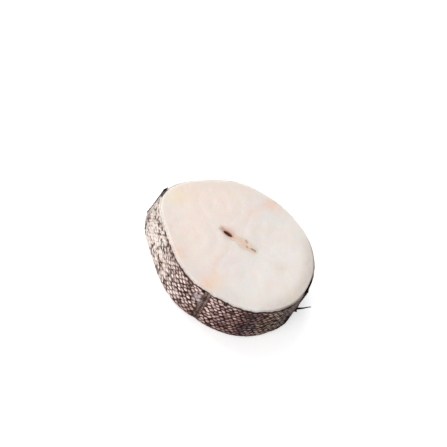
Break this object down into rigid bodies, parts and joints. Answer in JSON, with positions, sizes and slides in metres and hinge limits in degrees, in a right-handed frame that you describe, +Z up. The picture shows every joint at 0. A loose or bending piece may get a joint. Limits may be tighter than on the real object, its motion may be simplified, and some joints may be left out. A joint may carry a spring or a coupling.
{
  "type": "hake steak",
  "caption": "Raw hake steak cut across the tail half of the fish, lying on a cut face: pale flesh in scaly grey-brown skin, backbone in the middle, trimmed fin edges.",
  "frame": {"origin": "middle of the part's box, on the surface that the lower cut face lies on", "axes": "+X from the belly edge to the back, +Y across the fish, +Z up, along the body towards the tail"},
  "size_m": [0.097, 0.0726, 0.0266],
  "materials": {
    "flesh": "raw white fish muscle, moist, slightly translucent, with faint muscle rings and peach tints",
    "skin": "scaly skin, moist, near black at the back, brown on the flank and whitish at the belly edge",
    "bone": "cut vertebra, cream to peach, porous",
    "clot": "dried dark red blood in the canal below the backbone",
    "nerve": "grey spinal cord, moist",
    "fin": "trimmed fin with cut rays, near black"
  },
  "bodies": {
    "root": {"flesh": "flesh", "skin": "skin", "backbone": "bone", "blood_clot": "clot", "spinal_cord": "nerve", "back_fin": "fin", "belly_fin": "fin"}
  },
  "joints": []
}
